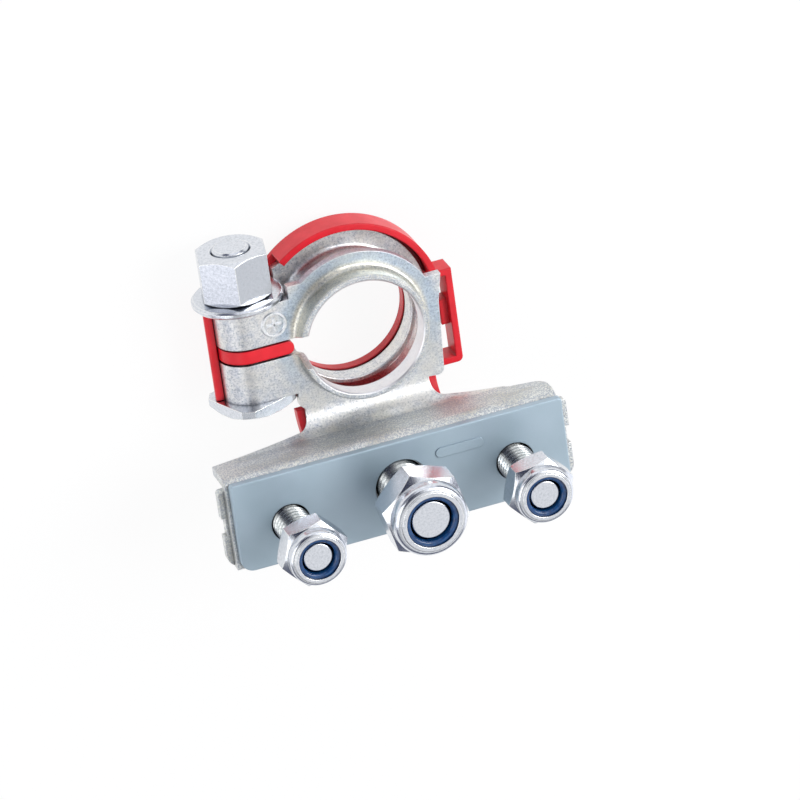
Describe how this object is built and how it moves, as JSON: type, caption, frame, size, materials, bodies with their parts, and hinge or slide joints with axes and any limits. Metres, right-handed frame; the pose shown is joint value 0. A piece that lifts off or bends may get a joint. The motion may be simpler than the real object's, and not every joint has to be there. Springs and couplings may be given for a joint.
{
  "type": "battery terminal clamp",
  "caption": "Folded steel clamp that a bolt and tall nut close round a battery post, with a red plastic carrier and a bar of threaded cable studs with lock nuts.",
  "frame": {"origin": "On the axis of the battery post's bore, at the rear face of the plastic carrier, which faces the battery.", "axes": "+X runs along the stud bar, away from the clamp bolt; +Y from the stud bar to the ring, along the clamp bolt towards its nut; +Z along the post and the studs, away from the battery."},
  "size_m": [0.0597, 0.0492, 0.0384],
  "materials": {
    "plated_steel_sheet": "zinc-plated pressed sheet, bright with a fine mottle",
    "plated_fastener": "zinc-plated, bright",
    "red_plastic": "moulded, smooth, semi-gloss",
    "gray_coated_plate": "satin blue-gray plating",
    "blue_nylon": "smooth nylon"
  },
  "bodies": {
    "frame": {"clamp_body": "plated_steel_sheet", "plastic_carrier": "red_plastic", "clamp_bolt": "plated_fastener", "contact_plate": "gray_coated_plate", "stud_retainer": "plated_steel_sheet", "left_stud": "plated_fastener", "centre_stud": "plated_fastener", "right_stud": "plated_fastener"},
    "captive_washer": {"clamp_washer": "plated_fastener"},
    "tall_nut": {"clamp_nut": "plated_fastener"},
    "left_lock_nut": {"left_nut": "plated_fastener", "left_nut_insert": "blue_nylon"},
    "centre_lock_nut": {"centre_nut": "plated_fastener", "centre_nut_insert": "blue_nylon"},
    "right_lock_nut": {"right_nut": "plated_fastener", "right_nut_insert": "blue_nylon"}
  },
  "joints": [
    {"name": "left_nut_turn", "type": "hinge", "parent": "frame", "child": "left_lock_nut", "pos_m": [-0.01895, -0.02454, 0.0305], "axis": [0, 0, 1], "continuous": true},
    {"name": "centre_nut_turn", "type": "hinge", "parent": "frame", "child": "centre_lock_nut", "pos_m": [0.0003, -0.02344, 0.0285], "axis": [0, 0, 1], "continuous": true},
    {"name": "right_nut_turn", "type": "hinge", "parent": "frame", "child": "right_lock_nut", "pos_m": [0.01955, -0.02454, 0.0305], "axis": [0, 0, 1], "continuous": true},
    {"name": "washer_lift", "type": "slide", "parent": "frame", "child": "captive_washer", "axis": [0, 1, 0], "range_m": [0, 0.002]},
    {"name": "clamp_nut_turn", "type": "hinge", "parent": "captive_washer", "child": "tall_nut", "pos_m": [-0.018, 0.00955, 0.0056], "axis": [0, 1, 0], "range_deg": [0, 720]}
  ],
  "couplings": [
    {"joint": "washer_lift", "follows": "clamp_nut_turn", "m_per_rad": 0.000159}
  ]
}
